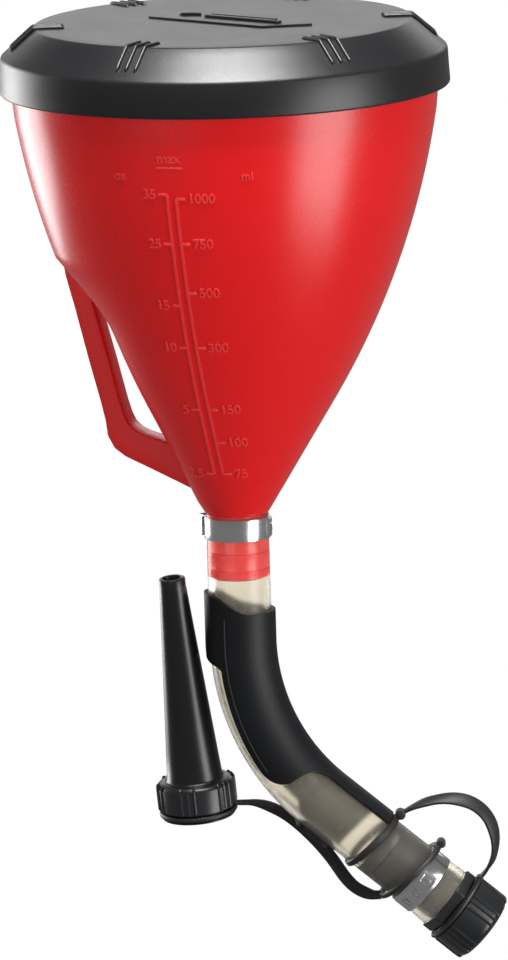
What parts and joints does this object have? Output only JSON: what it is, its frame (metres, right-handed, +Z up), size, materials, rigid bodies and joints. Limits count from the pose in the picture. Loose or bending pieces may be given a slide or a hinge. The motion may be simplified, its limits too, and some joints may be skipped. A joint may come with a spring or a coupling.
{
  "type": "fluid filling funnel",
  "caption": "Lidded hand-held filling funnel with graduated bowl, bent transparent hose, screw cap and a tethered tapered nozzle.",
  "frame": {"origin": "on the bowl's axis at the shoulder of its neck, where the hose begins", "axes": "+Z up the bowl's axis, +X towards the hose's outlet, so the hose bends in the XZ plane; the handle is on the -X side, 16 degrees towards +Y"},
  "size_m": [0.177, 0.1644, 0.3515],
  "materials": {
    "red_plastic": "gloss",
    "clear_hose": "smooth",
    "clamp_steel": "brushed",
    "guide_plastic": "fine grain",
    "fitting_plastic": "satin",
    "tether_rubber": "soft matte",
    "cap_plastic": "satin",
    "seal_rubber": "matte",
    "lid_plastic": "fine grain"
  },
  "bodies": {
    "funnel": {"bowl": "red_plastic", "handle": "red_plastic", "hose": "clear_hose", "upper_clamp": "clamp_steel", "lower_clamp": "clamp_steel", "bend_guide": "guide_plastic", "end_fitting": "fitting_plastic", "cap_tether_ring": "tether_rubber", "cap_tether_strap": "tether_rubber"},
    "lid": {"lid": "lid_plastic"},
    "cap_collar": {"cap_tether_collar": "tether_rubber"},
    "cap": {"end_cap": "cap_plastic", "cap_seal": "seal_rubber"},
    "nozzle_tether": {"nozzle_tether": "tether_rubber"},
    "nozzle": {"nozzle": "cap_plastic", "nozzle_seal": "seal_rubber"}
  },
  "joints": [
    {"name": "lid_lift", "type": "slide", "parent": "funnel", "child": "lid", "axis": [0, 0, 1], "range_m": [0, 0.06]},
    {"name": "cap_unscrew", "type": "slide", "parent": "funnel", "child": "cap_collar", "axis": [0.7604, 0, -0.6494], "range_m": [0, 0.015], "deforming": ["cap_tether_strap"]},
    {"name": "cap_turn", "type": "hinge", "parent": "cap_collar", "child": "cap", "pos_m": [0.08197, 0, -0.15582], "axis": [0.7604, 0, -0.6494], "range_deg": [0, 1800]},
    {"name": "nozzle_swing", "type": "hinge", "parent": "funnel", "child": "nozzle_tether", "pos_m": [0.05992, 0, -0.13698], "axis": [0.7604, 0, -0.6494], "range_deg": [-10, 10]},
    {"name": "nozzle_spin", "type": "hinge", "parent": "nozzle_tether", "child": "nozzle", "pos_m": [-0.01785, 0.0065, -0.1082], "axis": [-0.082, -0.087, 0.9928], "continuous": true}
  ],
  "couplings": [
    {"joint": "cap_turn", "follows": "cap_unscrew", "rad_per_m": 2094.4}
  ]
}
